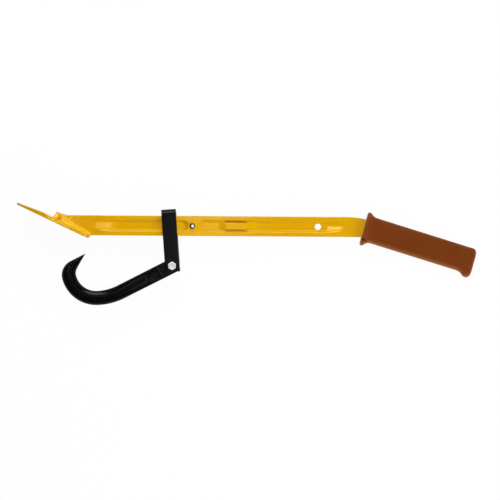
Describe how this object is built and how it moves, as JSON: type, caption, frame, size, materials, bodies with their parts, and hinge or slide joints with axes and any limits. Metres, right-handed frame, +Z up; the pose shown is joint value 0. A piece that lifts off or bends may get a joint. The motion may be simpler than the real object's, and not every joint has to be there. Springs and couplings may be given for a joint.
{
  "type": "felling lever with turning hook",
  "caption": "Steel felling lever with a welded lip blade, a moulded grip and a forged turning hook on a strap that slides along the bar.",
  "frame": {"origin": "centre of the object's bounding box in plan, on the ground that the tool lies on", "axes": "+X along the bar towards the grip, +Y up the height of the bar, away from the hook, +Z up from the ground, across the bar's thickness but for the two-degree lean at which the tool lies on its blade and its grip"},
  "size_m": [0.7956, 0.1768, 0.0786],
  "materials": {
    "yellow_enamel": "glossy stoved enamel over forged steel",
    "black_lacquer": "glossy black lacquer over forged steel",
    "spring_steel": "dark, bare spring steel",
    "zinc_plate": "bright zinc plating",
    "nylon_ring": "nylon locking ring",
    "brown_vinyl": "dip-moulded brown vinyl, satin"
  },
  "bodies": {
    "lever": {"lever_bar": "yellow_enamel", "lip_blade": "yellow_enamel", "weld_bead": "yellow_enamel", "stop_pin": "spring_steel", "grip_sleeve": "brown_vinyl"},
    "strap": {"hook_strap": "black_lacquer", "pivot_bolt": "zinc_plate", "nut_washer": "zinc_plate", "lock_nut": "zinc_plate", "lock_nut_insert": "nylon_ring"},
    "hook": {"cant_hook": "black_lacquer"}
  },
  "joints": [
    {"name": "strap_slide", "type": "slide", "parent": "lever", "child": "strap", "axis": [0.9993, 0, -0.0374], "range_m": [-0.122, 0.0224]},
    {"name": "hook_pivot", "type": "hinge", "parent": "strap", "child": "hook", "pos_m": [-0.12832, -0.01946, 0.03069], "axis": [0.0374, -0.0115, 0.9992], "range_deg": [-9, 170]}
  ]
}
